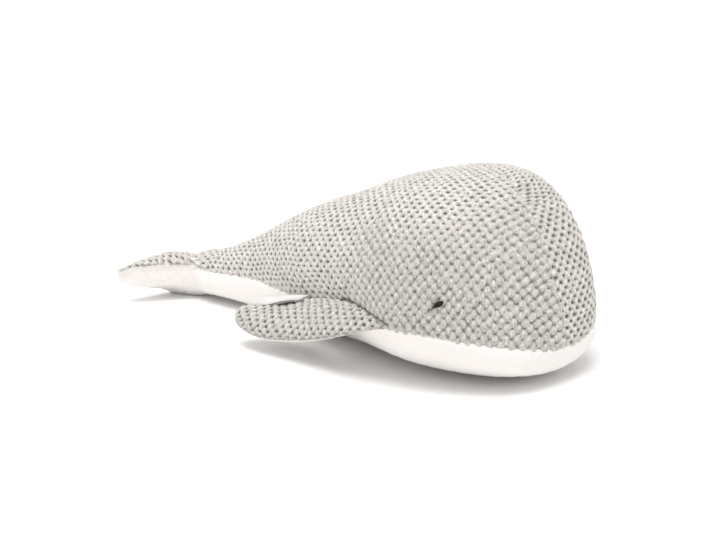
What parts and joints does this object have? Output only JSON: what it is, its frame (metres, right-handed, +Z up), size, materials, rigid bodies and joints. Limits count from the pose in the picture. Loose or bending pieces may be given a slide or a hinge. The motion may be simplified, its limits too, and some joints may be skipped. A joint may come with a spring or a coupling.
{
  "type": "plush whale",
  "caption": "Stuffed toy whale lying on its belly, with a knitted back, a plush belly, two swept flippers and a flat tail fluke that lifts.",
  "frame": {"origin": "middle of the whole toy, on the surface that its belly rests on", "axes": "+X towards the nose, +Y to the whale's left, +Z up"},
  "size_m": [0.4001, 0.1948, 0.1405],
  "materials": {
    "knit": "matte bobble knit",
    "plush": "matte short pile",
    "filling": "matte fibre",
    "thread": "satin stitch",
    "ribbon": "satin ribbon"
  },
  "bodies": {
    "body": {"body_filling": "filling", "back_panel_right": "knit", "back_panel_left": "knit", "belly_panel": "plush", "eye_right": "thread", "eye_left": "thread"},
    "fluke": {"fluke_filling": "filling", "fluke_top_panel": "knit", "fluke_under_panel": "plush"},
    "flipper_right": {"flipper_right_filling": "filling", "flipper_right_top_panel": "knit", "flipper_right_under_panel": "plush", "care_label": "ribbon"},
    "flipper_left": {"flipper_left_filling": "filling", "flipper_left_top_panel": "knit", "flipper_left_under_panel": "plush"}
  },
  "joints": [
    {"name": "fluke_lift", "type": "hinge", "parent": "body", "child": "fluke", "pos_m": [-0.1507, 0, 0.0427], "axis": [0, 1, 0], "range_deg": [0, 30]},
    {"name": "flipper_right_lift", "type": "hinge", "parent": "body", "child": "flipper_right", "pos_m": [0.08603, -0.07991, 0.0525], "axis": [-0.9307, 0.3657, 0], "range_deg": [0, 45]},
    {"name": "flipper_left_lift", "type": "hinge", "parent": "body", "child": "flipper_left", "pos_m": [0.08603, 0.07991, 0.0525], "axis": [0.9307, 0.3657, 0], "range_deg": [0, 45]}
  ]
}
